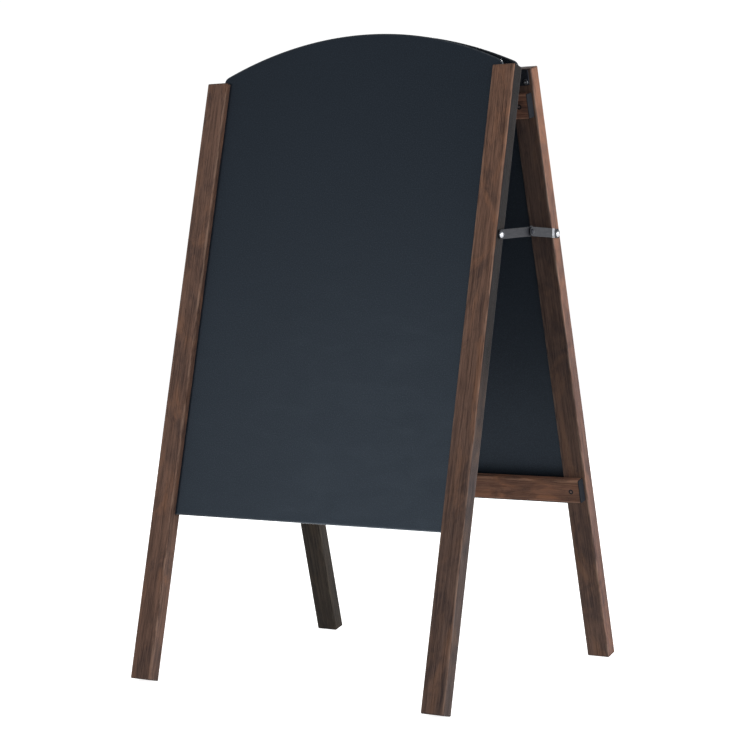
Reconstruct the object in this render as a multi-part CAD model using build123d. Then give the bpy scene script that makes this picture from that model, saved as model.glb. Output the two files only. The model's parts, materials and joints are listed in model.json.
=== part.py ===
"""Folding A-frame menu chalkboard.

Two identical wooden frames lean together at the top. Each frame has two posts, two rails lapped
onto the posts' inner faces, and an arched chalkboard that slides down grooves in the posts. Two
pairs of pivot brackets join the frames, and a folding two-link stay on each side holds them open.

Units are millimetres and degrees. The origin is on the floor, midway between the two frames:
X to the right, -Y towards the front frame, Z up.

Each frame is drawn upright first, in frame coordinates: x across, y = 0 on the posts' inner
faces with the outer faces at y = -POST_DEPTH, and z up the posts from their feet. It is then
tilted about the hinge pins. The rear frame is the front one mirrored.
"""
from math import acos, atan2, cos, degrees, hypot, radians, sin
import os

from build123d import *

os.makedirs("parts", exist_ok=True)

# Frames
OUTER_WIDTH = 500.0
TILT = 14.1                    # lean of each frame from upright
POST_FACE = 34.0               # post section across the width
POST_DEPTH = 20.0              # post section front to back
POST_LENGTH = 842.0
POST_EDGE_RADIUS = 2.0
POST_END_EASING = 1.5

RAIL_LENGTHS = {"front": 479.0, "rear": 493.0}
RAIL_HEIGHT = 33.0
RAIL_THICKNESS = 14.0
RAIL_EDGE_RADIUS = 2.0
RAIL_CENTRES = {"lower_rail": 254.0, "upper_rail": 794.2}

# Chalkboards
BOARD_THICKNESS = 3.0
BOARD_BOTTOM = 228.0
BOARD_CROWN = 900.3            # top of the arch, along the posts
BOARD_ARCH_RADIUS = 529.6
BOARD_CORNER_RADIUS = 9.0
BOARD_EDGE_RADIUS = 0.4
BOARD_HALF_WIDTH = 226.3
GROOVE_DEPTH = 10.6
GROOVE_WIDTH = 3.2
GROOVE_CENTRE = POST_DEPTH / 2

# Hinges
PIN_STANDOFF = 14.3            # pin axis to each frame's inner face
PIN_BELOW_TOP = 11.0           # pin axis below the posts' top ends
PIN_RADIUS = 2.0
PIN_HEAD_RADIUS = 3.6
PIN_HEAD_HEIGHT = 1.4
RUNNING_PLAY = 0.06            # radial, between a pin and the part that turns on it
FIXED_PLAY = 0.02              # radial, between a fastener and the part it is fixed in
BRACKET_THICKNESS = 2.0
BRACKET_INBOARD = 219.0        # inboard face of the rear brackets' ears
BRACKET_OUTBOARD = 245.5       # flanges' outboard edges
BRACKET_BOTTOM = 820.0
BRACKET_TOP = 841.0
BRACKET_CORNER_RADIUS = 2.5
EAR_ROOT_BOTTOM = 831.0
EAR_RADIUS = 5.0
EAR_GAP = 0.2

# Fasteners: head radius, head height, shank radius, length under the head
RAIL_SCREW = (3.6, 2.4, 2.0, 26.5)
BRACKET_SCREW = (3.6, 2.2, 1.7, 15.0)
STAY_SCREW = (4.7, 2.6, 2.2, 24.0)
SCREW_TIP = 4.0
RAIL_SCREW_XS = {"front": 230.5, "rear": 232.7}
BRACKET_SCREW_XS = (228.0, 240.5)
BRACKET_SCREW_Z = 824.5
HEAD_RECESS = 0.3              # rail screws sit this far below the rail's face

# Stays
STAY_SCREW_Z = 616.0
STAY_SCREW_DEPTH = POST_DEPTH / 2
STAY_RISE = 3.2                # the rivet stands this far above the line of the screws
RIVET_OFFSET = 3.0             # and this far behind its middle
LINK_WIDTH = 12.5
LINK_THICKNESS = 1.5
LINK_INNER_LAYER = 0.7         # gap from the posts' sides to the inner layer of links
LINK_OUTER_LAYER = 2.5
LINK_PLAY = 0.1                # between a link and the washer or screw head beside it
LINK_EYE_RADIUS = 7.0
JOGGLE_START = 9.0             # from the rear screw to the step in the rear link
JOGGLE_LENGTH = 9.0
WASHER_RADIUS = 5.0
RIVET_HEAD_RADIUS = 3.6
RIVET_HEAD_HEIGHT = 1.9
RIVET_RADIUS = 2.0

# Places that follow from the sizes above
HALF_WIDTH = OUTER_WIDTH / 2
POST_CENTRE_X = HALF_WIDTH - POST_FACE / 2
PIN_Z = POST_LENGTH - PIN_BELOW_TOP
SIDES = {"left": -1, "right": 1}


def leaned(y, z):
    """Frame coordinates of a point to the front frame's leaned place, measured from the pin."""
    lean = radians(TILT)
    out, up = y - PIN_STANDOFF, z - PIN_Z
    return out * cos(lean) + up * sin(lean), up * cos(lean) - out * sin(lean)


# The feet rest on the eased inner edges of the posts' bottom ends.
PIN_HEIGHT = POST_END_EASING - leaned(-POST_END_EASING, POST_END_EASING)[1]


def in_front(shape):
    """Lean a shape drawn in frame coordinates into the front frame."""
    return Pos(0, 0, PIN_HEIGHT) * Rot(X=-TILT) * Pos(0, -PIN_STANDOFF, -PIN_Z) * shape


def in_rear(shape):
    """The same shape in the rear frame."""
    return in_front(shape).mirror(Plane.XZ)


def on_side(shape, side):
    """A shape drawn on the right, moved to the given side."""
    return shape if side > 0 else shape.mirror(Plane.YZ)


def both_sides(shape):
    """A shape drawn on the right, with its mirror image on the left."""
    return [shape, shape.mirror(Plane.YZ)]


def domed_profile(radius, height):
    """Arc from the rim of a domed head to its crown."""
    ball = (radius**2 + height**2) / (2 * height)
    half = atan2(radius, ball - height) / 2
    middle = (ball * sin(half), height - ball * (1 - cos(half)))
    return ThreePointArc((radius, 0), middle, (0, height))


def turned(*outline):
    """Solid of revolution about Z from an outline in the XZ plane."""
    return revolve(Plane.XZ * make_face(list(outline)), Axis.Z)


def cross_recess(width, depth):
    """Cutter for a crosshead recess with its mouth at z = 0."""
    slot = Pos(0, 0, -depth / 2) * Box(width, width / 5, depth)
    return slot + Rot(Z=90) * slot


def domed_screw(size):
    """Wood screw with a domed head, its head's underside at z = 0, pointing down."""
    head, height, shank, length = size
    body = turned(
        domed_profile(head, height),
        Line((0, height), (0, -length)),
        Line((0, -length), (shank, SCREW_TIP - length)),
        Line((shank, SCREW_TIP - length), (shank, 0)),
        Line((shank, 0), (head, 0)),
    )
    return body - Pos(0, 0, height) * cross_recess(head, height * 0.6)


def flush_screw(size):
    """Countersunk wood screw with its head's face at z = 0, pointing down."""
    head, height, shank, length = size
    body = turned(
        Line((0, 0), (head, 0)),
        Line((head, 0), (shank, -height)),
        Line((shank, -height), (shank, SCREW_TIP - length)),
        Line((shank, SCREW_TIP - length), (0, -length)),
        Line((0, -length), (0, 0)),
    )
    return body - cross_recess(head, height * 0.6)


def screw_hole(size, length):
    """Cutter that clears a screw's shank down to the given depth."""
    return Pos(0, 0, -length / 2) * Cylinder(size[2] + FIXED_PLAY, length)


INTO_POST_FACE = Rot(X=-90)    # a screw's head towards +y, driven towards the outer face
INTO_POST_SIDE = Rot(Y=90)     # a screw's head towards +x, driven towards the middle


def rail_screw_spot(x, height):
    return Pos(x, RAIL_THICKNESS - HEAD_RECESS, height) * INTO_POST_FACE


def bracket_screw_spot(x):
    return Pos(x, BRACKET_THICKNESS, BRACKET_SCREW_Z) * INTO_POST_FACE


def stay_screw_spot():
    stand_off = LINK_INNER_LAYER + LINK_THICKNESS + LINK_PLAY
    return Pos(HALF_WIDTH + stand_off, -STAY_SCREW_DEPTH, STAY_SCREW_Z) * INTO_POST_SIDE


def post(side, rail_screw_x):
    """Right post with its board groove and pilot holes, or its mirror image."""
    section = RectangleRounded(POST_FACE, POST_DEPTH, POST_EDGE_RADIUS)
    body = extrude(Pos(POST_CENTRE_X, -POST_DEPTH / 2) * section, POST_LENGTH)
    ends = body.edges().group_by(Axis.Z)
    body = fillet(ends[0] + ends[-1], POST_END_EASING)
    groove_length = POST_LENGTH - BOARD_BOTTOM + POST_END_EASING
    body -= Pos(HALF_WIDTH - POST_FACE, -GROOVE_CENTRE, BOARD_BOTTOM + groove_length / 2) * Box(
        2 * GROOVE_DEPTH, GROOVE_WIDTH, groove_length)
    for height in RAIL_CENTRES.values():
        body -= rail_screw_spot(rail_screw_x, height) * screw_hole(RAIL_SCREW, RAIL_SCREW[3])
    for x in BRACKET_SCREW_XS:
        body -= bracket_screw_spot(x) * screw_hole(BRACKET_SCREW, BRACKET_SCREW[3])
    body -= stay_screw_spot() * screw_hole(STAY_SCREW, STAY_SCREW[3])
    return on_side(body, side)


def rail(length, screw_x, height):
    """Rail across the posts' inner faces, countersunk for a screw at each end."""
    section = RectangleRounded(RAIL_THICKNESS, RAIL_HEIGHT, RAIL_EDGE_RADIUS)
    body = extrude(Plane.YZ * section, length / 2, both=True)
    ends = body.edges().group_by(Axis.X)
    body = fillet(ends[0] + ends[-1], RAIL_EDGE_RADIUS / 2)
    body = Pos(0, RAIL_THICKNESS / 2, height) * body
    head, head_height, shank, depth = RAIL_SCREW
    sink = turned(
        Line((0, HEAD_RECESS), (head + FIXED_PLAY, HEAD_RECESS)),
        Line((head + FIXED_PLAY, HEAD_RECESS), (head + FIXED_PLAY, 0)),
        Line((head + FIXED_PLAY, 0), (shank + FIXED_PLAY, -head_height)),
        Line((shank + FIXED_PLAY, -head_height), (shank + FIXED_PLAY, -depth)),
        Line((shank + FIXED_PLAY, -depth), (0, -depth)),
        Line((0, -depth), (0, HEAD_RECESS)),
    )
    for cutter in both_sides(rail_screw_spot(screw_x, height) * sink):
        body -= cutter
    return body


def chalkboard():
    """Thin board with straight sides and a shallow arched top."""
    arch_centre = BOARD_CROWN - BOARD_ARCH_RADIUS
    shoulder = arch_centre + (BOARD_ARCH_RADIUS**2 - BOARD_HALF_WIDTH**2) ** 0.5
    low_left, low_right = (-BOARD_HALF_WIDTH, BOARD_BOTTOM), (BOARD_HALF_WIDTH, BOARD_BOTTOM)
    high_left, high_right = (-BOARD_HALF_WIDTH, shoulder), (BOARD_HALF_WIDTH, shoulder)
    outline = make_face([
        Line(low_left, low_right),
        Line(low_right, high_right),
        ThreePointArc(high_right, (0, BOARD_CROWN), high_left),
        Line(high_left, low_left),
    ])
    corners = outline.vertices().sort_by(Axis.Y)[-2:]
    outline = fillet(corners, BOARD_CORNER_RADIUS)
    body = extrude(Plane.XZ * outline, BOARD_THICKNESS / 2, both=True)
    faces = body.faces().sort_by(Axis.Y)
    body = fillet(faces[0].edges() + faces[-1].edges(), BOARD_EDGE_RADIUS)
    return Pos(0, -GROOVE_CENTRE, 0) * body


def ear_outline():
    """Ear of a pivot bracket in the YZ plane: rounded about the pin, wide at its root."""
    eye = Pos(PIN_STANDOFF, PIN_Z) * Circle(EAR_RADIUS)
    root = Polyline((0, EAR_ROOT_BOTTOM), (0, BRACKET_TOP), (BRACKET_THICKNESS, BRACKET_TOP),
                    (BRACKET_THICKNESS, EAR_ROOT_BOTTOM), close=True)
    return make_hull(eye.edges() + root.edges())


def bracket(side, inboard, pin_play):
    """Pivot bracket: a flange on the post's inner face and an ear that carries the pin."""
    flange_width = BRACKET_OUTBOARD - inboard
    flange_height = BRACKET_TOP - BRACKET_BOTTOM
    flange_centre = (BRACKET_OUTBOARD + inboard) / 2, (BRACKET_TOP + BRACKET_BOTTOM) / 2
    plate = RectangleRounded(flange_width, flange_height, BRACKET_CORNER_RADIUS)
    flange = extrude(Plane.XZ * Pos(*flange_centre) * plate, -BRACKET_THICKNESS)
    hole = Pos(PIN_STANDOFF, PIN_Z) * Circle(PIN_RADIUS + pin_play)
    ear = extrude(Plane.YZ * (ear_outline() - hole), BRACKET_THICKNESS)
    body = flange + Pos(inboard, 0, 0) * ear
    for x in BRACKET_SCREW_XS:
        body -= bracket_screw_spot(x) * screw_hole(BRACKET_SCREW, BRACKET_THICKNESS)
    return on_side(body, side)


FRONT_EAR_INBOARD = BRACKET_INBOARD + BRACKET_THICKNESS + EAR_GAP


def hinge_pin(side):
    """Riveted pin through both ears, in place on the hinge axis."""
    inboard_head = BRACKET_INBOARD - EAR_GAP
    outboard_head = FRONT_EAR_INBOARD + BRACKET_THICKNESS
    grip = outboard_head - inboard_head
    shank = Pos(0, 0, grip / 2) * Cylinder(PIN_RADIUS, grip)
    head = turned(
        domed_profile(PIN_HEAD_RADIUS, PIN_HEAD_HEIGHT),
        Line((0, PIN_HEAD_HEIGHT), (0, 0)),
        Line((0, 0), (PIN_HEAD_RADIUS, 0)),
    )
    pin = shank + Pos(0, 0, grip) * head + Rot(X=180) * head
    return on_side(Pos(inboard_head, 0, PIN_HEIGHT) * Rot(Y=90) * pin, side)


def washer():
    """Spacer between a post's side and the end of a stay link."""
    thickness = LINK_INNER_LAYER - LINK_PLAY
    ring = Circle(WASHER_RADIUS) - Circle(STAY_SCREW[2] + FIXED_PLAY)
    return Pos(HALF_WIDTH, -STAY_SCREW_DEPTH, STAY_SCREW_Z) * extrude(Plane.YZ * ring, thickness)


# Stays in the open pose: the screws' places, then each link's reach from its screw to the rivet
STAY_HALF_SPAN = -leaned(-STAY_SCREW_DEPTH, STAY_SCREW_Z)[0]
STAY_HEIGHT = PIN_HEIGHT + leaned(-STAY_SCREW_DEPTH, STAY_SCREW_Z)[1]
LINK_REACH = {"front": STAY_HALF_SPAN + RIVET_OFFSET, "rear": STAY_HALF_SPAN - RIVET_OFFSET}
LINK_LENGTH = {name: hypot(reach, STAY_RISE) for name, reach in LINK_REACH.items()}
LINK_SLOPE = {name: degrees(atan2(STAY_RISE, reach)) for name, reach in LINK_REACH.items()}


def link_blank(length):
    """Flat strip with round ends, its screw hole at the origin and its rivet end along +x."""
    strip = Pos(length / 2, 0) * SlotCenterToCenter(length, LINK_WIDTH)
    return strip - Circle(STAY_SCREW[2] + RUNNING_PLAY)


def front_link(side):
    """Straight link in the inner layer, with an eye for the rivet."""
    length = LINK_LENGTH["front"]
    eye = Pos(length, LINK_EYE_RADIUS - LINK_WIDTH / 2) * Circle(LINK_EYE_RADIUS)
    outline = link_blank(length) + eye - Pos(length, 0) * Circle(RIVET_RADIUS + LINK_PLAY)
    body = extrude(Plane.YZ * Rot(Z=LINK_SLOPE["front"]) * outline, LINK_THICKNESS)
    place = Pos(HALF_WIDTH + LINK_INNER_LAYER, -STAY_HALF_SPAN, STAY_HEIGHT)
    return on_side(place * body, side)


def rear_link(side):
    """Link that steps from the rear screw's inner layer to the outer layer at the rivet."""
    length = LINK_LENGTH["rear"]
    start, end = -LINK_WIDTH, length + LINK_WIDTH
    step_end = JOGGLE_START + JOGGLE_LENGTH
    inner, outer, thick = LINK_INNER_LAYER, LINK_OUTER_LAYER, LINK_THICKNESS
    ribbon = make_face(Polyline(
        (start, inner), (JOGGLE_START, inner), (step_end, outer), (end, outer),
        (end, outer + thick), (step_end, outer + thick), (JOGGLE_START, inner + thick),
        (start, inner + thick), close=True))
    bends = [v for v in ribbon.vertices() if start < v.X < end]
    ribbon = fillet(bends, LINK_THICKNESS)
    ribbon = extrude(Plane.XY * ribbon, LINK_WIDTH, both=True)
    outline = link_blank(length) - Pos(length, 0) * Circle(RIVET_RADIUS + FIXED_PLAY)
    cutter = extrude(Plane.XZ * outline, LINK_WIDTH, both=True)
    # Drawn with its length on x and its layers on y: turned to run forwards from the rear screw.
    body = Rot(X=-LINK_SLOPE["rear"]) * Rot(Z=-90) * (ribbon & cutter)
    return on_side(Pos(HALF_WIDTH, STAY_HALF_SPAN, STAY_HEIGHT) * body, side)


def stay_rivet(side):
    """Rivet fixed in the rear link; it stops short of the front link."""
    shank = Pos(0, 0, -LINK_THICKNESS / 2) * Cylinder(RIVET_RADIUS, LINK_THICKNESS)
    head = turned(
        domed_profile(RIVET_HEAD_RADIUS, RIVET_HEAD_HEIGHT),
        Line((0, RIVET_HEAD_HEIGHT), (0, 0)),
        Line((0, 0), (RIVET_HEAD_RADIUS, 0)),
    )
    outside = HALF_WIDTH + LINK_OUTER_LAYER + LINK_THICKNESS
    place = Pos(outside, RIVET_OFFSET, STAY_HEIGHT + STAY_RISE) * Rot(Y=90)
    return on_side(place * (shank + head), side)


def group(solids):
    """Several separate solids in one node."""
    return Compound(children=list(solids))


def save(node, shape):
    export_step(shape, f"parts/{node}.step")


def save_frame(name, place, ear_inboard, pin_play):
    """Write every node that belongs to one frame."""
    rail_length, rail_screw_x = RAIL_LENGTHS[name], RAIL_SCREW_XS[name]
    for side_name, side in SIDES.items():
        save(f"{name}_{side_name}_post", place(post(side, rail_screw_x)))
        save(f"{name}_{side_name}_bracket", place(bracket(side, ear_inboard, pin_play)))
    for rail_name, height in RAIL_CENTRES.items():
        save(f"{name}_{rail_name}", place(rail(rail_length, rail_screw_x, height)))
    save(f"{name}_chalkboard", place(chalkboard()))
    rail_screws = [rail_screw_spot(rail_screw_x, height) * flush_screw(RAIL_SCREW)
                   for height in RAIL_CENTRES.values()]
    bracket_screws = [bracket_screw_spot(x) * domed_screw(BRACKET_SCREW) for x in BRACKET_SCREW_XS]
    stay_screw = stay_screw_spot() * domed_screw(STAY_SCREW)
    fasteners = {
        "rail_screws": rail_screws,
        "bracket_screws": bracket_screws,
        "stay_screws": [stay_screw],
        "stay_washers": [washer()],
    }
    for node, right_hand in fasteners.items():
        placed = [place(one) for shape in right_hand for one in both_sides(shape)]
        save(f"{name}_{node}", group(placed))


save_frame("front", in_front, FRONT_EAR_INBOARD, FIXED_PLAY)
save_frame("rear", in_rear, BRACKET_INBOARD, RUNNING_PLAY)
for side_name, side in SIDES.items():
    save(f"{side_name}_hinge_pin", hinge_pin(side))
    save(f"{side_name}_front_link", front_link(side))
    save(f"{side_name}_rear_link", rear_link(side))
    save(f"{side_name}_stay_rivet", stay_rivet(side))

# Joint values that the record states
closed_span = 2 * (STAY_SCREW_DEPTH + PIN_STANDOFF)
print("pin height", round(PIN_HEIGHT, 3), "fold range", round(2 * TILT, 3))
print("stay screws at y", round(STAY_HALF_SPAN, 3), "z", round(STAY_HEIGHT, 3))
for name, other in (("front", "rear"), ("rear", "front")):
    near, far = LINK_LENGTH[name], LINK_LENGTH[other]
    closed = degrees(acos((near**2 + closed_span**2 - far**2) / (2 * near * closed_span)))
    print(name, "link length", round(near, 3), "range", round(closed - LINK_SLOPE[name] - TILT, 3))
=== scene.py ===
"""Looks of the folding menu chalkboard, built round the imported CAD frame.

Wooden bars and chalkboards are rebuilt as fine meshes that carry the grain's own coordinates, so
that grain, stain and wear follow each piece. Metal parts are softened copies of their CAD nodes.
Lengths are metres. "Frame coordinates" are a frame's own, upright: x across, y from the front
frame's outer faces towards its inner ones, z up the posts, with the origin on the hinge axis.
"""
import json
import math

import bmesh
import bpy
from mathutils import Matrix, Vector, noise


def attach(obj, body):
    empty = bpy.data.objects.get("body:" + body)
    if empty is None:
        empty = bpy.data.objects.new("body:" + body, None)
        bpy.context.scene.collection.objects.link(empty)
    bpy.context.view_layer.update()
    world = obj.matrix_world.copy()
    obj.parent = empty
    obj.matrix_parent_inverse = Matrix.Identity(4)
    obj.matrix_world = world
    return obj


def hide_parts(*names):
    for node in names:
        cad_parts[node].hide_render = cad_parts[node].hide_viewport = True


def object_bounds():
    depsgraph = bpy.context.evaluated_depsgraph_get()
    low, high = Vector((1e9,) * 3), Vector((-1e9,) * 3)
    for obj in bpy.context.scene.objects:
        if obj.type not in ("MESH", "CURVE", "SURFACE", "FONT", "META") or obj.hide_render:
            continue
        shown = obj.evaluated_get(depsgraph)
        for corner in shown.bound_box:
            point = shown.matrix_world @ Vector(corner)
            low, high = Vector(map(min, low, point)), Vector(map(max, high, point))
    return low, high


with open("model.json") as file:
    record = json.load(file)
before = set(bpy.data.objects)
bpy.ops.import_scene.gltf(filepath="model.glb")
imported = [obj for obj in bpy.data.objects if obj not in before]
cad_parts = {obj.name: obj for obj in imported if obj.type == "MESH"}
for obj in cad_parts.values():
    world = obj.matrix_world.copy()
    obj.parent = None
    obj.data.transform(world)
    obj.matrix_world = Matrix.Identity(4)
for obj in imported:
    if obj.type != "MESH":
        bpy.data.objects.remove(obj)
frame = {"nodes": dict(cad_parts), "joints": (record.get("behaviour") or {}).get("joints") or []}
CAD_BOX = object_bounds()
MM = 0.001

TINY = 0.001 * MM
SIDES = ("left", "right")

# Posts and rails
POST_EDGE = 2.0 * MM           # radius of the long edges
POST_EASING = 1.5 * MM         # radius at the ends
RAIL_EDGE = 2.0 * MM
RAIL_EASING = 1.0 * MM
POST_WEAR = 1.0
RAIL_WEAR = 0.8
POST_END_DARKNESS = 0.35
RAIL_END_DARKNESS = 1.0
WEAR_WAVES = (90, 16)          # slow wear: noise scales across and along a bar
WEAR_CHIPS = (160, 75)         # quick wear
EDGE_LOSS = (0.03 * MM, 0.08 * MM)    # lost from an edge to slow and to quick wear
FLAT_LOSS = 0.02 * MM
END_RUBBING = 0.9              # of the edges at a bar's ends, against 1 along its sides
LEAST_RUBBING = 0.35
FLAT_STEP = 1.6 * MM           # spacing of points across a bar's flat faces
FLAT_CROWDING = 0.35           # how much closer those points lie near the edges
RING_STEP = 6.0 * MM           # spacing of sections along a bar
END_STEP = 0.8 * MM            # from a bar's eased end to its first full section
END_TURNS = (0, 25, 50, 70, 90)
CORNER_POINTS = 5
WEAR_REACH = 1.5 * MM          # how far wear spreads from an edge onto the flats
RING_WIDTH = 8.0 * MM          # growth rings of the wood
FACING = 0.7                   # least cosine between a normal and the face that it belongs to

# The post's groove, beyond the board that sits in it
GROOVE_SIDE_GAP = 0.1 * MM
GROOVE_END_GAP = 0.3 * MM
GROOVE_MARGIN = 0.3 * MM       # no point of the flat lies closer to the groove than this
GROOVE_LIP = 0.12              # share of the groove's width that its sides lean inwards
GROOVE_RUBBING = 0.35

# Chalkboards
ARCH_RADIUS = 529.6 * MM
ARCH_STEPS = 96
ARCH_CORNER = 9.0 * MM
ARCH_CORNER_STEPS = 6
BOARD_EDGE = 0.4 * MM          # radius of the rim's edges
BOARD_EDGE_TURN = 30           # degrees between the rim's points
# Over this band the rim is lightened as rubbed paint and as a painted highlight
RUBBED_BAND = 2.2 * MM         # paint is rubbed this far in from the rim

# Metal pieces
HEAD_PROUD = 0.06 * MM
HEAD_MIDDLE = 1.8 * MM         # screw heads are rubbed within this radius
# The rear links' bends are painted bright, as rubbed bare steel and as a painted highlight
BEND = (8.6 * MM, 18.4 * MM)   # the rear links step outwards this far ahead of their screws
BEND_FADE = 0.7 * MM           # the bend's rubbing fades out over this length
BEND_RUB_AND_HIGHLIGHT = 0.8
CUT_REACH = 1e-7               # points this close to a cut are taken to lie on it
CUT_SLACK = 0.01 * MM
UNRUBBED = 0.0
FLAT_ENOUGH = math.radians(0.5)       # faces that meet at less are joined before easing
SHARP_ENOUGH = math.radians(40)       # edges sharper than this are eased
SHADED_SHARP = math.radians(38)       # edges sharper than this are shaded sharp
BRACKET_EASING = 0.3 * MM
DARK_SCREW_EASING = 0.12 * MM
BRIGHT_EASING = 0.15 * MM
PIN_EASING = 0.15 * MM
LINK_EASING = 0.2 * MM

# Camera: place in metres, turns in degrees, lens and sensor in millimetres
CAMERA_PLACE = (1.6265, -2.4878, 0.5937)
CAMERA_YAW = 33.101
CAMERA_PITCH = -3.554
CAMERA_ROLL = -1.048
CAMERA_LENS = 103.39
CAMERA_SENSOR = 36.0

# Stage
DOME_RADIUS = 20.0
FLOOR_RADIUS = 19.5
FLOOR_DROP = 0.2 * MM
FLOOR_SIDES = 96
FLOOR_GLOW = 0.88
DOME_GLOW = 1.05
# Softboxes: name, place, target, size, power in watts
SOFTBOXES = (
    ("right_softbox", (2.4, 0.3, 0.9), (0, 0.0, 0.45), (1.5, 1.5), 70),
    ("front_softbox", (-1.15, -2.4, 0.95), (0, -0.1, 0.45), (0.7, 0.5), 18),
    ("camera_softbox", (2.0, -2.25, 0.45), (0, 0.0, 0.40), (1.2, 1.2), 17),
    ("side_back_softbox", (0.75, 3.0, 0.8), (0.2, 0.0, 0.6), (0.7, 1.2), 10),
    ("back_softbox", (-1.5, 2.8, 1.7), (0, 0.0, 0.80), (2.4, 1.2), 45),
)

joints = {joint["name"]: joint for joint in frame["joints"]}
FOLD = joints["frame_fold"]
LEAN = math.radians(FOLD["range_deg"][1] / 2)
HINGE = Vector(FOLD["pos_m"])


def frame_place(name):
    """Frame coordinates to the row's frame, for the front or the rear frame."""
    place = Matrix.Translation(HINGE) @ Matrix.Rotation(-LEAN, 4, "X")
    if name == "rear":
        place = Matrix.Scale(-1, 4, (0, 1, 0)) @ place
    return place


def local_box(node, place):
    """Lowest and highest corner of a CAD node in frame coordinates."""
    back = place.inverted()
    points = [back @ vertex.co for vertex in frame["nodes"][node].data.vertices]
    low = Vector(min(p[i] for p in points) for i in range(3))
    high = Vector(max(p[i] for p in points) for i in range(3))
    return low, high


# ---------------------------------------------------------------- node helper

class Tree:
    """Short-hand for building a node tree."""

    def __init__(self, owner):
        owner.use_nodes = True
        self.nodes = owner.node_tree.nodes
        self.links = owner.node_tree.links
        self.nodes.clear()

    def add(self, kind, inputs=None, **settings):
        node = self.nodes.new(kind)
        for key, value in settings.items():
            setattr(node, key, value)
        for key, value in (inputs or {}).items():
            if isinstance(value, bpy.types.NodeSocket):
                self.links.new(value, node.inputs[key])
            else:
                node.inputs[key].default_value = value
        return node

    def math(self, operation, a, b=0.0):
        return self.add("ShaderNodeMath", {0: a, 1: b}, operation=operation).outputs[0]

    def stretch(self, vector, scale):
        node = self.add("ShaderNodeVectorMath", {0: vector, 1: scale}, operation="MULTIPLY")
        return node.outputs[0]

    def noise(self, vector, scale, detail=2.0, roughness=0.5, distortion=0.0):
        inputs = {"Vector": vector, "Scale": scale, "Detail": detail, "Roughness": roughness,
                  "Distortion": distortion}
        return self.add("ShaderNodeTexNoise", inputs).outputs["Fac"]

    def ramp(self, value, low, high, out_low=0.0, out_high=1.0):
        inputs = {"Value": value, "From Min": low, "From Max": high, "To Min": out_low,
                  "To Max": out_high}
        node = self.add("ShaderNodeMapRange", inputs, interpolation_type="SMOOTHSTEP")
        return node.outputs["Result"]

    def mix(self, factor, a, b, blend="MIX"):
        node = self.add("ShaderNodeMix", {0: factor, 6: a, 7: b}, data_type="RGBA",
                        blend_type=blend)
        return node.outputs[2]

    def attribute(self, name, output):
        return self.add("ShaderNodeAttribute", attribute_name=name).outputs[output]

    def bump(self, height, strength, distance):
        inputs = {"Height": height, "Strength": strength, "Distance": distance}
        return self.add("ShaderNodeBump", inputs).outputs["Normal"]

    def surface(self, inputs):
        shader = self.add("ShaderNodeBsdfPrincipled", inputs)
        self.add("ShaderNodeOutputMaterial", {"Surface": shader.outputs[0]})


def rgb(red, green, blue):
    return (red, green, blue, 1.0)


# ------------------------------------------------------------------ materials

STREAK_DARK = rgb(0.082, 0.049, 0.038)
STREAK_LIGHT = rgb(0.150, 0.086, 0.062)
WARM_PATCH = rgb(0.205, 0.104, 0.062)
LATE_RING = rgb(0.045, 0.026, 0.021)
STAIN_BLOTCH = rgb(0.040, 0.029, 0.028)
DARK_LINE = rgb(0.030, 0.019, 0.016)
PALE_FIBRE = rgb(0.230, 0.132, 0.092)
PORE = rgb(0.014, 0.009, 0.008)
RUBBED_WOOD = rgb(0.36, 0.235, 0.17)
EDGE_LINE = rgb(0.012, 0.008, 0.008)
END_GRAIN = rgb(0.008, 0.009, 0.012)

PAINT_DARK = rgb(0.0071, 0.0097, 0.0140)
PAINT_LIGHT = rgb(0.0093, 0.0126, 0.0181)
WIPED_CHALK = rgb(0.026, 0.034, 0.044)
PAINT_TOOTH = rgb(0.021, 0.029, 0.040)
PAINT_FLECK = rgb(0.026, 0.035, 0.048)
RUBBED_PAINT_AND_HIGHLIGHT = rgb(0.075, 0.082, 0.092)
BOARD_SHEEN = rgb(0.66, 0.82, 1.0)

CLOUD_SHADE = 0.72             # darkest tone of a metal, as a share of its own


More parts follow.
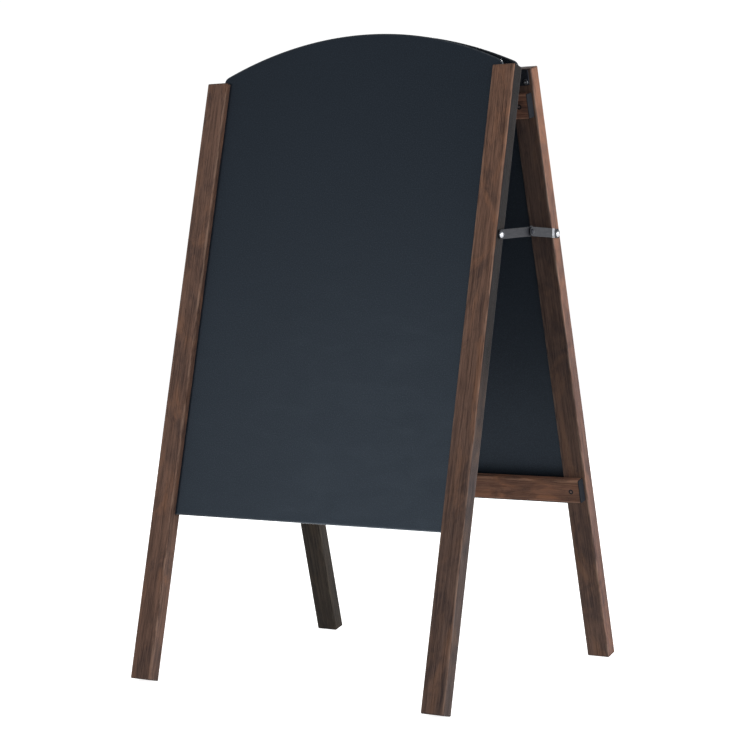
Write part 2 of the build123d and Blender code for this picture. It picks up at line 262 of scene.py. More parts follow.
def wood_material():
    """Dark-stained softwood: growth rings, fibres, stain blotches, pores and rubbed edges.

    The mesh carries "grain" (metres, z along the bar), "wear", "end" and "stain", a colour
    multiplier: the wood's stain, with painted shade and painted light on some faces.
    """
    material = bpy.data.materials.new("stained_wood")
    tree = Tree(material)
    grain = tree.attribute("grain", "Vector")
    wear = tree.attribute("wear", "Fac")
    end = tree.attribute("end", "Fac")
    stain_and_painted_light = tree.attribute("stain_and_painted_light", "Color")

    # Growth rings that wander along the bar
    wander = tree.add("ShaderNodeTexNoise", {
        "Vector": tree.stretch(grain, (14, 14, 3.0)), "Scale": 1.0, "Detail": 3.0,
        "Roughness": 0.6}).outputs["Color"]
    shifted = tree.add("ShaderNodeVectorMath", {
        0: wander, 1: (0.032, 0.032, 0.0), 2: grain}, operation="MULTIPLY_ADD").outputs[0]
    flat = tree.stretch(shifted, (1, 1, 0))
    radius = tree.add("ShaderNodeVectorMath", {0: flat}, operation="LENGTH").outputs["Value"]
    wave = tree.math("SINE", tree.math("MULTIPLY", radius, 2 * math.pi / RING_WIDTH))
    late = tree.ramp(wave, 0.1, 1.0)
    ring_depth = tree.ramp(tree.noise(tree.stretch(grain, (70, 70, 5)), 1.0), 0.38, 0.68)
    late = tree.math("MULTIPLY", late, ring_depth)

    # Noises from fine fibres to broad blotches, all stretched along the grain
    fibre = tree.noise(tree.stretch(grain, (1100, 1100, 22)), 1.0, 5.0, 0.7)
    streak = tree.noise(tree.stretch(grain, (170, 170, 7)), 1.0, 5.0, 0.70, 0.4)
    patch = tree.noise(tree.stretch(grain, (26, 26, 11)), 1.0, 4.0, 0.62, 0.8)
    blotch = tree.noise(tree.stretch(grain, (19, 19, 11)), 1.0, 5.0, 0.68, 1.0)
    line = tree.noise(tree.stretch(grain, (360, 360, 8)), 1.0, 4.0, 0.72)
    pores = tree.ramp(tree.noise(tree.stretch(grain, (2600, 2600, 60)), 1.0, 2.0), 0.58, 0.72)

    # Tones, one laid over the other
    colour = tree.mix(tree.ramp(streak, 0.34, 0.68), STREAK_DARK, STREAK_LIGHT)
    colour = tree.mix(tree.ramp(patch, 0.48, 0.64, 0.0, 0.72), colour, WARM_PATCH)
    colour = tree.mix(tree.math("MULTIPLY", late, 0.45), colour, LATE_RING)
    colour = tree.mix(tree.ramp(blotch, 0.45, 0.64, 0.0, 0.76), colour, STAIN_BLOTCH)
    colour = tree.mix(tree.ramp(line, 0.50, 0.66, 0.0, 0.62), colour, DARK_LINE)
    colour = tree.mix(tree.ramp(fibre, 0.42, 0.64, 0.0, 0.50), colour, PALE_FIBRE)
    colour = tree.mix(tree.math("MULTIPLY", pores, 0.75), colour, PORE)
    # Edges, rubbed pale in some places and lined dark in others
    broken = tree.noise(tree.stretch(grain, (420, 420, 32)), 1.0, 4.0, 0.65)
    rubbed = tree.math("MULTIPLY", wear, tree.ramp(broken, 0.42, 0.60))
    colour = tree.mix(tree.math("MULTIPLY", rubbed, 0.52), colour, RUBBED_WOOD)
    lined = tree.math("MULTIPLY", wear, tree.ramp(broken, 0.46, 0.34))
    colour = tree.mix(tree.math("MULTIPLY", lined, 0.55), colour, EDGE_LINE)
    # Multiply by the stain attribute, which on some faces also holds painted shade and painted
    # light
    colour = tree.mix(1.0, colour, stain_and_painted_light, "MULTIPLY")
    colour = tree.mix(end, colour, END_GRAIN)

    relief = tree.math("ADD", tree.math("MULTIPLY", late, 0.35),
                       tree.math("MULTIPLY", fibre, 0.8))
    relief = tree.math("SUBTRACT", relief, tree.math("MULTIPLY", pores, 0.7))
    rough = tree.ramp(fibre, 0.3, 0.7, 0.66, 0.50)
    rough = tree.math("ADD", rough, tree.math("MULTIPLY", end, 0.1))
    tree.surface({
        "Base Color": colour, "Roughness": rough, "Specular IOR Level": 0.085,
        "Normal": tree.bump(relief, 0.55, 0.25 * MM)})
    return material


def board_material():
    """Matt chalkboard paint: fine tooth, a roller's faint texture, a wiped haze, and worn rims
    lightened also as a painted highlight.
    """
    material = bpy.data.materials.new("chalkboard")
    tree = Tree(material)
    spot = tree.attribute("grain", "Vector")
    wear = tree.attribute("wear", "Fac")
    tooth = tree.noise(spot, 2600.0, 3.0, 0.6)
    fleck = tree.noise(spot, 620.0, 3.0, 0.75)
    roller = tree.noise(tree.stretch(spot, (260, 260, 150)), 1.0, 3.0, 0.55)
    haze = tree.noise(tree.stretch(spot, (2.6, 2.6, 2.0)), 1.0, 3.0, 0.5, 0.3)
    wiped = tree.noise(tree.stretch(spot, (16, 16, 46)), 1.0, 4.0, 0.6, 0.8)
    colour = tree.mix(tree.ramp(haze, 0.3, 0.7), PAINT_DARK, PAINT_LIGHT)
    colour = tree.mix(tree.ramp(wiped, 0.52, 0.80, 0.0, 0.10), colour, WIPED_CHALK)
    colour = tree.mix(tree.ramp(tooth, 0.42, 0.72, 0.0, 0.45), colour, PAINT_TOOTH)
    colour = tree.mix(tree.ramp(fleck, 0.45, 0.65, 0.0, 0.55), colour, PAINT_FLECK)
    # Rims lightened as rubbed paint and as a painted highlight along the edge
    rubbed = tree.math("MULTIPLY", wear, tree.ramp(roller, 0.30, 0.62, 0.3, 0.9))
    colour = tree.mix(rubbed, colour, RUBBED_PAINT_AND_HIGHLIGHT)
    height = tree.math("ADD", tree.math("MULTIPLY", tooth, 0.5), roller)
    grit = tree.math("ADD", tree.math("MULTIPLY", wiped, 0.6), tooth)
    rough = tree.ramp(grit, 0.5, 1.1, 0.50, 0.42)
    rough = tree.math("SUBTRACT", rough, tree.math("MULTIPLY", wear, 0.2))
    tree.surface({
        "Base Color": colour, "Roughness": rough, "Specular IOR Level": 0.25,
        "Specular Tint": BOARD_SHEEN,
        "Normal": tree.bump(height, 0.30, 0.10 * MM)})
    return material


def metal_material(name, tone, worn, metallic, roughness, brushed, scratch, specular=0.5):
    """Metal with a brushed or cast grain, uneven gloss and bright rubbed edges.

    tone and worn are colours, brushed is the grain's scale each way, and scratch is how much of
    the worn colour the grain shows.
    """
    material = bpy.data.materials.new(name)
    tree = Tree(material)
    spot = tree.add("ShaderNodeTexCoord").outputs["Object"]
    wear = tree.attribute("wear", "Fac")
    brush = tree.noise(tree.stretch(spot, brushed), 1.0, 4.0, 0.6)
    cloud = tree.noise(spot, 160.0, 3.0, 0.55)
    speck = tree.noise(spot, 1900.0, 2.0, 0.6)
    dull = rgb(*(CLOUD_SHADE * part for part in tone))
    colour = tree.mix(tree.ramp(cloud, 0.3, 0.7), dull, rgb(*tone))
    colour = tree.mix(tree.ramp(brush, 0.4, 0.75, 0.0, scratch), colour, rgb(*worn))
    rubbed = tree.math("MULTIPLY", wear, tree.ramp(speck, 0.38, 0.62))
    colour = tree.mix(tree.math("MULTIPLY", rubbed, 0.8), colour, rgb(*worn))
    rough = tree.ramp(tree.math("ADD", cloud, tree.math("MULTIPLY", brush, 0.7)), 0.5, 1.2,
                      roughness + 0.10, roughness - 0.08)
    height = tree.math("ADD", brush, tree.math("MULTIPLY", speck, 0.5))
    tree.surface({
        "Base Color": colour, "Roughness": rough, "Metallic": metallic,
        "Specular IOR Level": specular,
        "Normal": tree.bump(height, 0.25, 0.05 * MM)})
    return material


WOOD = wood_material()
BOARD = board_material()
BLACK_STEEL = metal_material("black_steel", (0.0030, 0.0034, 0.0048), (0.026, 0.030, 0.040),
                             0.0, 0.62, (700, 700, 700), 0.15, 0.10)
# Its worn colour also paints the highlight on the rear links' bends
STAY_STEEL = metal_material("stay_steel", (0.012, 0.0135, 0.019), (0.55, 0.56, 0.60), 0.8, 0.40,
                            (1800, 60, 1800), 0.03)
BRIGHT_STEEL = metal_material("bright_steel", (0.40, 0.41, 0.44), (0.86, 0.87, 0.90), 1.0, 0.24,
                              (900, 900, 900), 0.4)
DARK_SCREW = metal_material("dark_screw", (0.004, 0.0044, 0.006), (0.50, 0.52, 0.56), 0.3, 0.50,
                            (900, 900, 900), 0.03, 0.2)


# ------------------------------------------------------------- shared mesh code

def finish_piece(name, mesh, material, body, replaced):
    """Make an object of a bmesh, shade it, and tie it to its CAD body and node."""
    bmesh.ops.recalc_face_normals(mesh, faces=mesh.faces)
    for face in mesh.faces:
        face.smooth = True
    for edge in mesh.edges:
        edge.smooth = len(edge.link_faces) == 2 and edge.calc_face_angle() < SHADED_SHARP
    data = bpy.data.meshes.new(name)
    mesh.to_mesh(data)
    mesh.free()
    data.materials.append(material)
    piece = bpy.data.objects.new(name, data)
    bpy.context.scene.collection.objects.link(piece)
    weighted = piece.modifiers.new("weighted_normals", "WEIGHTED_NORMAL")
    weighted.keep_sharp = True
    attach(piece, body)
    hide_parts(replaced)
    return piece


def smooth_noise(*place):
    """Repeatable noise from -1 to 1."""
    return noise.noise(Vector(place))


# ---------------------------------------------------------------- wooden bars

class SectionPoint:
    """One point of a bar's section: its place, outward normal and nearness to an edge."""

    def __init__(self, a, b, normal, edge, sunk=None):
        self.place = Vector((a, b))
        self.normal = Vector(normal)
        self.edge = edge
        self.sunk = sunk           # place at the bottom of the groove, for points that have one


def flat_points(start, end, normal, skip=()):
    """Points along a flat between two corners, closer together near the corners."""
    run = end - start
    count = max(4, round(run.length / FLAT_STEP))
    points = []
    for i in range(1, count):
        share = 0.5 - 0.5 * math.cos(math.pi * i / count)
        share = FLAT_CROWDING * share + (1 - FLAT_CROWDING) * i / count
        place = start + run * share
        reach = min(share, 1 - share) * run.length
        if not any(low <= place.y <= high for low, high in skip):
            points.append(SectionPoint(*place, normal, max(0.0, 1 - reach / WEAR_REACH)))
    return points


def section(width, depth, radius, groove=None):
    """Rounded rectangle, anticlockwise, with an optional groove in its -a side.

    The groove is (low b, high b, depth). Its four points are flat until they are sunk.
    """
    half_a, half_b = width / 2 - radius, depth / 2 - radius
    points = []
    for normal in ((1, 0), (0, 1), (-1, 0), (0, -1)):
        corner = Vector((normal[0] - normal[1], normal[1] + normal[0]))
        centre = Vector((corner.x * half_a, corner.y * half_b))
        before = Vector((normal[0] + normal[1], normal[1] - normal[0]))
        previous = Vector((before.x * half_a, before.y * half_b))
        out = Vector(normal) * radius
        start, end = previous + out, centre + out
        if groove and normal == (-1, 0):
            low, high, deep = groove
            face = -width / 2
            gap = [(low - GROOVE_MARGIN, high + GROOVE_MARGIN)]
            points += flat_points(start, end, normal, gap)
            lip = (high - low) * GROOVE_LIP
            spots = [(high, high, 0.0), (high - lip, high, deep), (low + lip, low, deep),
                     (low, low, 0.0)]
            upper = [p for p in points if p.normal == Vector((-1, 0)) and p.place.y > high]
            lower = [p for p in points if p.normal == Vector((-1, 0)) and p.place.y < low]
            points = [p for p in points if p not in upper and p not in lower] + upper
            for b, sunk_b, dip in spots:
                sunk = Vector((face + dip, sunk_b)) if dip else None
                rubbing = GROOVE_RUBBING if sunk is None else 0.0
                points.append(SectionPoint(face, b, normal, rubbing, sunk))
            points += lower
        else:
            points += flat_points(start, end, normal)
        for step in range(CORNER_POINTS):
            angle = math.atan2(normal[1], normal[0]) + math.pi / 2 * step / (CORNER_POINTS - 1)
            out = Vector((math.cos(angle), math.sin(angle)))
            points.append(SectionPoint(*(centre + out * radius), out, 1.0))
    return points


def ring_heights(length, easing, groove_start):
    """(height, inset, nearness to the end, rubbing) of every section along a bar."""
    eased = [(easing * (1 - math.cos(math.radians(turn))),
              easing * (1 - math.sin(math.radians(turn))), float(turn > 0))
             for turn in END_TURNS]
    low = [(height, inset, 1.0, rubbing) for height, inset, rubbing in eased]
    near = easing + END_STEP
    stops = [near, groove_start, length - near] if groove_start else [near, length - near]
    middle = []
    for start, stop in zip(stops, stops[1:]):
        count = max(1, round((stop - start) / RING_STEP))
        middle += [(start + (stop - start) * i / count, 0.0, 0.0, 1.0) for i in range(count)]
    middle.append((stops[-1], 0.0, 0.0, 1.0))
    high = [(length - height, inset, 1.0, rubbing) for height, inset, rubbing in reversed(eased)]
    return low + middle + high


def worn_place(point, height, inset, seed, worn):
    """A section point after easing at the ends and rubbing down along the edges."""
    a, b = point.place - point.normal * inset
    across, along = WEAR_WAVES
    slow = 0.5 + 0.5 * smooth_noise(a * across + seed, b * across, height * along)
    across, along = WEAR_CHIPS
    quick = 0.5 + 0.5 * smooth_noise(a * across, b * across + seed, height * along)
    edge_loss = worn * (EDGE_LOSS[0] * slow + EDGE_LOSS[1] * quick)
    loss = point.edge * edge_loss + (1 - point.edge) * FLAT_LOSS * quick
    spot = Vector((a, b)) - point.normal * loss
    return Vector((spot.x, spot.y, height)), slow


def bar_mesh(points, heights, groove_start, seed, worn, dark_ends):
    """Sweep a section up z. Returns the bmesh, with its grain coordinates set."""
    mesh = bmesh.new()
    grain = mesh.verts.layers.float_vector.new("grain")
    wear = mesh.verts.layers.float.new("wear")
    end = mesh.verts.layers.float.new("end")
    # Each bar is cut from its own place in the tree, some way off the pith.
    drift = Vector((0.045 + 0.021 * math.sin(seed * 2.1), 0.040 + 0.020 * math.cos(seed * 1.7),
                    seed * 1.37))

    def vertex(place, edge, tip):
        made = mesh.verts.new(place)
        made[grain] = place + drift
        made[wear] = edge
        made[end] = tip * dark_ends
        return made

    rings = []
    for height, inset, tip, rubbing in heights:
        flat, sunk = [], []
        for point in points:
            place, slow = worn_place(point, height, inset, seed, worn)
            edge = rubbing * max(point.edge, END_RUBBING * tip)
            edge *= LEAST_RUBBING + (1 - LEAST_RUBBING) * slow
            in_groove = groove_start is not None and point.sunk is not None
            deep = in_groove and height >= groove_start - TINY
            first = in_groove and abs(height - groove_start) < TINY
            shallow = None if deep and not first else vertex(place, edge, tip)
            hollow = vertex(Vector((*point.sunk, height)), 0.0, tip) if deep else shallow
            flat.append(shallow or hollow)
            sunk.append(hollow)
        rings.append((flat, sunk))
        if groove_start is not None and abs(height - groove_start) < TINY:
            mouth = [i for i, p in enumerate(points) if p.sunk is not None]
            before, after = mouth[0] - 1, mouth[-1] + 1
            mesh.faces.new([flat[before], *(flat[i] for i in mouth), flat[after],
                            *(sunk[i] for i in reversed(mouth))])
    count = len(points)
    for (_, low), (high, _) in zip(rings, rings[1:]):
        for i in range(count):
            j = (i + 1) % count
            mesh.faces.new([low[i], low[j], high[j], high[i]])
    mesh.faces.new(rings[0][0])
    mesh.faces.new(rings[-1][1])
    return mesh


def paint_stain_and_light(mesh, shade):
    """Colour a bar with its stain's strength and, on some faces, painted shade and painted light:
    shade(place, normal) gives a multiplier.
    """
    layer = mesh.verts.layers.float_color.new("stain_and_painted_light")
    mesh.normal_update()
    for vertex in mesh.verts:
        tint = shade(vertex.co, vertex.normal)
        vertex[layer] = (*tint, 1.0)


def even(tint):
    """A tint of one strength all along a bar; some faces and bars use it for painted shade and
    painted light.
    """
    return lambda height: tint


def graded(foot, head, start, stop):
    """A tint that changes from the foot's to the head's between two heights; some faces use it
    for painted shade.
    """
    def shade(height):
        share = min(1.0, max(0.0, (height - start) / (stop - start)))
        return tuple(a + (b - a) * share for a, b in zip(foot, head))
    return shade


def faced(stain_and_painted_light, **others):
    """Stain, and painted shade on some faces, by height and face: outer or board side, or inner
    (hinge side) or outside face.
    """
    directions = {"outer": Vector((1, 0, 0)), "board": Vector((-1, 0, 0)),
                  "inner": Vector((0, 1, 0)), "outside": Vector((0, -1, 0))}

    def shade(spot, normal):
        for name, other in others.items():
            if normal.dot(directions[name]) > FACING:
                return other(spot.z)
        return stain_and_painted_light(spot.z)
    return shade


def post(frame_name, side_name, shade, seed):
    """A post: grooved for the board, its edges rubbed and its ends eased."""
    node = f"{frame_name}_{side_name}_post"
    place = frame_place(frame_name)
    low, high = local_box(node, place)
    board_low, board_high = local_box(f"{frame_name}_chalkboard", place)
    side = 1 if side_name == "right" else -1
    inner_side = low.x if side > 0 else -high.x
    centre = (low + high) / 2
    groove_depth = board_high.x - inner_side + GROOVE_END_GAP
    groove = (board_low.y - GROOVE_SIDE_GAP - centre.y, board_high.y + GROOVE_SIDE_GAP - centre.y,
              groove_depth)
    groove_start = board_low.z - low.z
    size = high - low
    points = section(size.x, size.y, POST_EDGE, groove)
    heights = ring_heights(size.z, POST_EASING, groove_start)
    mesh = bar_mesh(points, heights, groove_start, seed, POST_WEAR, POST_END_DARKNESS)
    paint_stain_and_light(mesh, shade)
    to_frame = Matrix.Translation((centre.x, centre.y, low.z)) @ Matrix.Scale(side, 4, (1, 0, 0))
    mesh.transform(place @ to_frame)
    return finish_piece(node + "_wood", mesh, WOOD, f"{frame_name}_frame", node)


def rail(frame_name, level, stain_and_painted_light, seed):
    """A rail: its length on x, square to the posts, its end grain stained nearly black."""
    node = f"{frame_name}_{level}_rail"
    place = frame_place(frame_name)
    low, high = local_box(node, place)
    size = high - low
    centre = (low + high) / 2
    points = section(size.z, size.y, RAIL_EDGE)
    heights = ring_heights(size.x, RAIL_EASING, None)
    mesh = bar_mesh(points, heights, None, seed, RAIL_WEAR, RAIL_END_DARKNESS)
    paint_stain_and_light(mesh, faced(stain_and_painted_light))
    lay_down = Matrix(((0, 0, 1, low.x), (0, 1, 0, centre.y), (1, 0, 0, centre.z), (0, 0, 0, 1)))
    mesh.transform(place @ lay_down)
    return finish_piece(node + "_wood", mesh, WOOD, f"{frame_name}_frame", node)


# ----------------------------------------------------------------- chalkboards

def board_outline(half, bottom, crown):
    """(place, outward direction) round a board in x and z: square below, arched above."""
    centre_z = crown - ARCH_RADIUS
    # The corner arc touches the straight side and the arch from inside.
    hub_x = half - ARCH_CORNER
    hub_z = centre_z + math.sqrt((ARCH_RADIUS - ARCH_CORNER) ** 2 - hub_x ** 2)
    reach = math.atan2(hub_x, hub_z - centre_z)
    outline = [(Vector((-half, bottom)), Vector((-1, -1)).normalized()),
               (Vector((half, bottom)), Vector((1, -1)).normalized())]
    for i in range(ARCH_CORNER_STEPS + 1):
        turn = (math.pi / 2 - reach) * i / ARCH_CORNER_STEPS
        out = Vector((math.cos(turn), math.sin(turn)))
        outline.append((Vector((hub_x, hub_z)) + out * ARCH_CORNER, out))
    for i in range(1, ARCH_STEPS):
        turn = reach - 2 * reach * i / ARCH_STEPS
        out = Vector((math.sin(turn), math.cos(turn)))
        outline.append((Vector((0, centre_z)) + out * ARCH_RADIUS, out))
    for i in range(ARCH_CORNER_STEPS + 1):
        turn = (math.pi / 2 - reach) * (ARCH_CORNER_STEPS - i) / ARCH_CORNER_STEPS
        out = Vector((-math.cos(turn), math.sin(turn)))
        outline.append((Vector((-hub_x, hub_z)) + out * ARCH_CORNER, out))
    return outline


def board_rim(thick):
    """(y, inset, wear) of the loops that run round a board, from its front to its back."""
    flat = thick / 2 - BOARD_EDGE
    rim = [(-thick / 2, RUBBED_BAND, 0.0)]
    for turn in range(-90, 91, BOARD_EDGE_TURN):
        angle = math.radians(turn)
        side = 1 if turn > 0 else -1
        y = flat * side * (turn != 0) + BOARD_EDGE * math.sin(angle)
        rim.append((y, BOARD_EDGE * (1 - math.cos(angle)), 1.0))
    return rim + [(thick / 2, RUBBED_BAND, 0.0)]


def chalkboard(frame_name, seed):
    """Painted board: arched top, rounded rims, and a narrow band where the paint is rubbed and
    lightened as a painted highlight.
    """
    node = f"{frame_name}_chalkboard"
    place = frame_place(frame_name)
    low, high = local_box(node, place)
    outline = board_outline(high.x, low.z, high.z)
    middle = (low.y + high.y) / 2
    mesh = bmesh.new()
    grain = mesh.verts.layers.float_vector.new("grain")
    wear = mesh.verts.layers.float.new("wear")
    loops = []
    for y, inset, worn in board_rim(high.y - low.y):
        loop = []
        for spot, out in outline:
            square = abs(abs(out.x) - abs(out.y)) < TINY
            inner = spot - out * inset * (math.sqrt(2) if square else 1)
            vertex = mesh.verts.new((inner.x, middle + y, inner.y))
            vertex[grain] = Vector((inner.x, middle + y, inner.y)) + Vector((seed, seed, seed))
            vertex[wear] = worn
            loop.append(vertex)
        loops.append(loop)
    count = len(outline)
    for one, two in zip(loops, loops[1:]):
        for i in range(count):
            j = (i + 1) % count
            mesh.faces.new([one[i], one[j], two[j], two[i]])
    mesh.faces.new(loops[0])
    mesh.faces.new(loops[-1])
    mesh.transform(place)
    return finish_piece(node + "_board", mesh, BOARD, f"{frame_name}_frame", node)


# ----------------------------------------------------------------- metal parts

def islands(mesh):
    """The separate solids of a mesh, as lists of vertices."""
    left = set(mesh.verts)
    while left:
        found, waiting = [], [next(v for v in mesh.verts if v in left)]
        left.discard(waiting[0])
        while waiting:
            vertex = waiting.pop()
            found.append(vertex)
            for edge in vertex.link_edges:
                other = edge.other_vert(vertex)
                if other in left:
                    left.discard(other)
                    waiting.append(other)
        yield found


def spare_rims(mesh, wear, frame_name):
    """Keep the rubbing of screw heads to the middle, off their rims."""
    back = frame_place(frame_name).inverted()
    for solid in islands(mesh):
        spots = [back @ vertex.co for vertex in solid]
        middle = [(min(p[i] for p in spots) + max(p[i] for p in spots)) / 2 for i in (0, 2)]
        for vertex, spot in zip(solid, spots):
            if math.hypot(spot.x - middle[0], spot.z - middle[1]) > HEAD_MIDDLE:
                vertex[wear] = 0.0


def rub_and_highlight_bend(mesh, wear, side_name):
    """Rub the rear link bright where it steps outwards, as rubbed bare steel and a painted
    highlight on the bend.
    """
    screw = joints[f"{side_name}_rear_link_pivot"]["pos_m"][1]
    for ahead in (BEND[0] - BEND_FADE, *BEND, BEND[1] + BEND_FADE):
        everything = [*mesh.verts, *mesh.edges, *mesh.faces]
        bmesh.ops.bisect_plane(mesh, geom=everything, plane_co=(0, screw - ahead, 0),
                               plane_no=(0, 1, 0), dist=CUT_REACH)
    for vertex in mesh.verts:
        near = BEND[0] - CUT_SLACK < screw - vertex.co.y < BEND[1] + CUT_SLACK
        vertex[wear] = BEND_RUB_AND_HIGHLIGHT if near else 0.0


def raise_heads(mesh, frame_name):
    """Bring the rail screws' faces from the floor of their recesses up to the rails' face."""
    place = frame_place(frame_name)
    back = place.inverted()
    heads = local_box(f"{frame_name}_rail_screws", place)[1].y
    face = local_box(f"{frame_name}_lower_rail", place)[1].y
    out = place.to_3x3() @ Vector((0, face - heads + HEAD_PROUD, 0))
    for vertex in mesh.verts:
        if (back @ vertex.co).y > heads - HEAD_PROUD:
            vertex.co += out


def softened(node, material, body, easing, rubbed=1.0, flush_in=None, bent_on=None):
    """A copy of a CAD node with its sharp edges eased and marked as rubbed.

    flush_in names the frame of screws set flush in its rails, bent_on the side of a rear link,
    whose bend is rubbed bright and given a painted highlight.
    """
    mesh = bmesh.new()
    mesh.from_mesh(frame["nodes"][node].data)
    if flush_in:
        raise_heads(mesh, flush_in)
    bmesh.ops.remove_doubles(mesh, verts=mesh.verts, dist=TINY)
    bmesh.ops.dissolve_limit(mesh, angle_limit=FLAT_ENOUGH, verts=mesh.verts, edges=mesh.edges)
    wear = mesh.verts.layers.float.new("wear")
    sharp = [e for e in mesh.edges
             if len(e.link_faces) == 2 and e.calc_face_angle() > SHARP_ENOUGH]
    made = bmesh.ops.bevel(mesh, geom=sharp, offset=easing, segments=2, profile=0.5,
                           affect="EDGES", clamp_overlap=True)
    for vertex in made["verts"]:
        vertex[wear] = rubbed
    if flush_in:
        spare_rims(mesh, wear, flush_in)
    if bent_on:
        rub_and_highlight_bend(mesh, wear, bent_on)
    bmesh.ops.triangulate(mesh, faces=[f for f in mesh.faces if len(f.verts) > 4])
    return finish_piece(node + "_metal", mesh, material, body, node)


# ------------------------------------------------------------------- assembly

PLAIN = even((0.95, 0.93, 0.93))
# Painted shade: a dark tint for faces that lie in the boards' shade
PAINTED_SHADE = even((0.26, 0.35, 0.38))
# Painted light: the lower rails brightened well past the plain tone, as if lit from the right
LOWER_RAIL_PAINTED_LIGHT = even((1.65, 1.45, 1.32))
UPPER_RAIL_STAIN = even((1.1, 0.95, 0.9))
# Tints per post and face: stain, with painted shade where marked below
POST_STAINS_AND_PAINTED_SHADE = {
    # Front left: outside face a little lighter towards the head
    ("front", "left"): faced(
        PLAIN, outside=graded((1.05, 1.0, 0.98), (1.14, 1.12, 1.12), 0.1, 0.8)),
    # Front right: outside face darker towards the foot and lighter towards the head; outer face
    # at about half the plain tone below 0.30 m and nearly black from 0.46 m up
    ("front", "right"): faced(
        PLAIN, outside=graded((0.78, 0.80, 0.84), (1.28, 1.18, 1.10), 0.2, 0.8),
        outer=graded((0.43, 0.51, 0.61), (0.05, 0.065, 0.09), 0.30, 0.46)),
    # Rear left: board and inner faces darkened as painted shade
    ("rear", "left"): faced(PLAIN, board=PAINTED_SHADE, inner=PAINTED_SHADE),
    # Rear right: inner face darkened towards the head as painted shade inside the fold; outer
    # face a little warmer towards the head
    ("rear", "right"): faced(
        PLAIN, inner=graded((0.98, 1.02, 1.06), (0.55, 0.62, 0.70), 0.15, 0.7),
        outer=graded((0.96, 0.93, 1.01), (1.04, 0.92, 0.88), 0.2, 0.8)),
}
for number, ((frame_name, side_name), stain_and_painted_light) in enumerate(POST_STAINS_AND_PAINTED_SHADE.items()):
    post(frame_name, side_name, stain_and_painted_light, 1.0 + number)
for number, frame_name in enumerate(("front", "rear")):
    rail(frame_name, "lower", LOWER_RAIL_PAINTED_LIGHT, 5.0 + number)
    rail(frame_name, "upper", UPPER_RAIL_STAIN, 7.0 + number)
    chalkboard(frame_name, 3.0 + 5.0 * number)
    body = f"{frame_name}_frame"
    for side_name in SIDES:
        softened(f"{frame_name}_{side_name}_bracket", BLACK_STEEL, body,
                 BRACKET_EASING)
    softened(f"{frame_name}_rail_screws", DARK_SCREW, body, DARK_SCREW_EASING,
             flush_in=frame_name)
    softened(f"{frame_name}_bracket_screws", DARK_SCREW, body, DARK_SCREW_EASING)
    softened(f"{frame_name}_stay_screws", BRIGHT_STEEL, body, BRIGHT_EASING)
    softened(f"{frame_name}_stay_washers", BRIGHT_STEEL, body, BRIGHT_EASING)
for side_name in SIDES:
    softened(f"{side_name}_hinge_pin", BLACK_STEEL, "front_frame", PIN_EASING)
    softened(f"{side_name}_front_link", STAY_STEEL, f"{side_name}_front_link",
             LINK_EASING, UNRUBBED)
    softened(f"{side_name}_rear_link", STAY_STEEL, f"{side_name}_rear_link",
             LINK_EASING, UNRUBBED, bent_on=side_name)
    softened(f"{side_name}_stay_rivet", STAY_STEEL, f"{side_name}_rear_link",
             PIN_EASING, UNRUBBED)


# ---------------------------------------------------------------------- stage

def disc(name, radius, height, material):
    mesh = bmesh.new()
    bmesh.ops.create_circle(mesh, cap_ends=True, segments=FLOOR_SIDES, radius=radius,
                            matrix=Matrix.Translation((0, 0, height)))
    data = bpy.data.meshes.new(name)
    mesh.to_mesh(data)
    mesh.free()
    data.materials.append(material)
    made = bpy.data.objects.new(name, data)
    bpy.context.scene.collection.objects.link(made)
    return made


def floor_material():
    """Pale studio floor, lit from within a little so that it stays white."""
    material = bpy.data.materials.new("studio_floor")
    tree = Tree(material)
    tree.surface({
        "Base Color": rgb(0.82, 0.82, 0.82), "Roughness": 0.9, "Specular IOR Level": 0.0,
        "Emission Color": rgb(1, 1, 1), "Emission Strength": FLOOR_GLOW})
    return material


def hide_from_light(thing, rays):
    """Keep a stage piece from lighting or shading the sign through the rays named."""
    for ray in rays:
        setattr(thing, f"visible_{ray}", False)


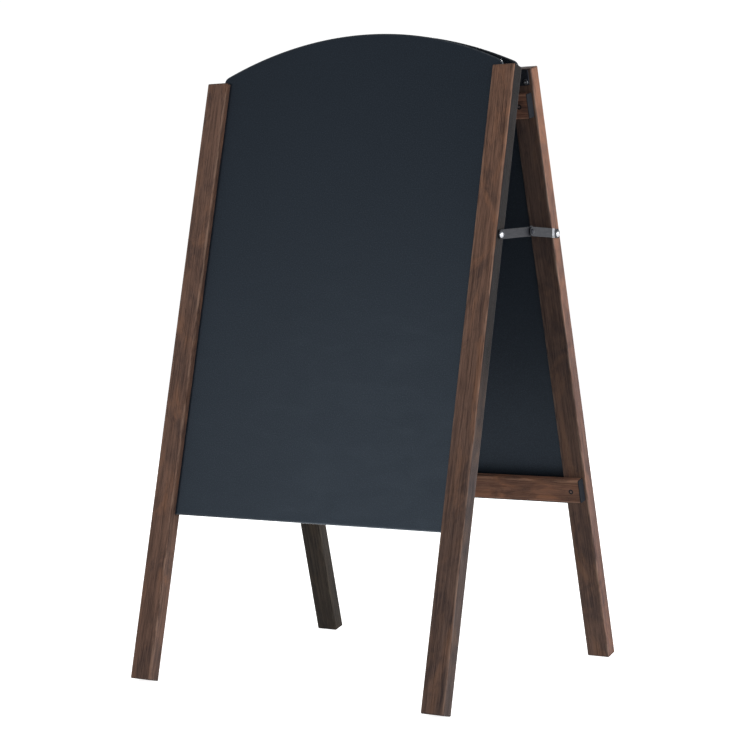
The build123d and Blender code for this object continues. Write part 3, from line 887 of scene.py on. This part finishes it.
def backdrop():
    """White dome that only the camera sees, so the studio's dim parts don't show."""
    material = bpy.data.materials.new("backdrop_white")
    tree = Tree(material)
    glow = tree.add("ShaderNodeEmission", {"Color": rgb(1, 1, 1), "Strength": DOME_GLOW})
    tree.add("ShaderNodeOutputMaterial", {"Surface": glow.outputs[0]})
    mesh = bmesh.new()
    bmesh.ops.create_icosphere(mesh, subdivisions=5, radius=DOME_RADIUS)
    data = bpy.data.meshes.new("backdrop")
    mesh.to_mesh(data)
    mesh.free()
    data.materials.append(material)
    dome = bpy.data.objects.new("backdrop", data)
    bpy.context.scene.collection.objects.link(dome)
    hide_from_light(dome, ("diffuse", "glossy", "transmission", "volume_scatter", "shadow"))


def studio_world():
    """Soft surrounding light, bright near the horizon, dimmer overhead and from below."""
    world = bpy.data.worlds.new("studio")
    bpy.context.scene.world = world
    tree = Tree(world)
    direction = tree.add("ShaderNodeTexCoord").outputs["Generated"]
    height = tree.add("ShaderNodeSeparateXYZ", {0: direction}).outputs["Z"]
    above = tree.ramp(height, 0.05, 0.5, 0.50, 0.20)
    strength = tree.math("MINIMUM", above, tree.ramp(height, -0.85, -0.45, 0.18, 0.50))
    sky = tree.add("ShaderNodeBackground", {"Color": rgb(0.94, 0.97, 1.0), "Strength": strength})
    tree.add("ShaderNodeOutputWorld", {"Surface": sky.outputs[0]})


def softbox(name, place, target, size, power):
    light = bpy.data.lights.new(name, "AREA")
    light.shape = "RECTANGLE"
    light.size, light.size_y = size
    light.energy = power
    made = bpy.data.objects.new(name, light)
    bpy.context.scene.collection.objects.link(made)
    made.location = place
    aim = Vector(target) - Vector(place)
    made.rotation_euler = aim.to_track_quat("-Z", "Y").to_euler()


def camera():
    data = bpy.data.cameras.new("camera")
    data.sensor_width = CAMERA_SENSOR
    data.lens = CAMERA_LENS
    made = bpy.data.objects.new("camera", data)
    bpy.context.scene.collection.objects.link(made)
    yaw, pitch, roll = (math.radians(v) for v in (CAMERA_YAW, CAMERA_PITCH, CAMERA_ROLL))
    turned = (Matrix.Rotation(yaw, 4, "Z") @ Matrix.Rotation(math.pi / 2 + pitch, 4, "X")
              @ Matrix.Rotation(roll, 4, "Z"))
    made.matrix_world = Matrix.Translation(CAMERA_PLACE) @ turned
    bpy.context.scene.camera = made


hide_from_light(disc("studio_floor", FLOOR_RADIUS, CAD_BOX[0].z - FLOOR_DROP, floor_material()),
                ("diffuse", "shadow"))
backdrop()
studio_world()
for row in SOFTBOXES:
    softbox(*row)
camera()
bpy.context.scene.view_settings.view_transform = "Standard"
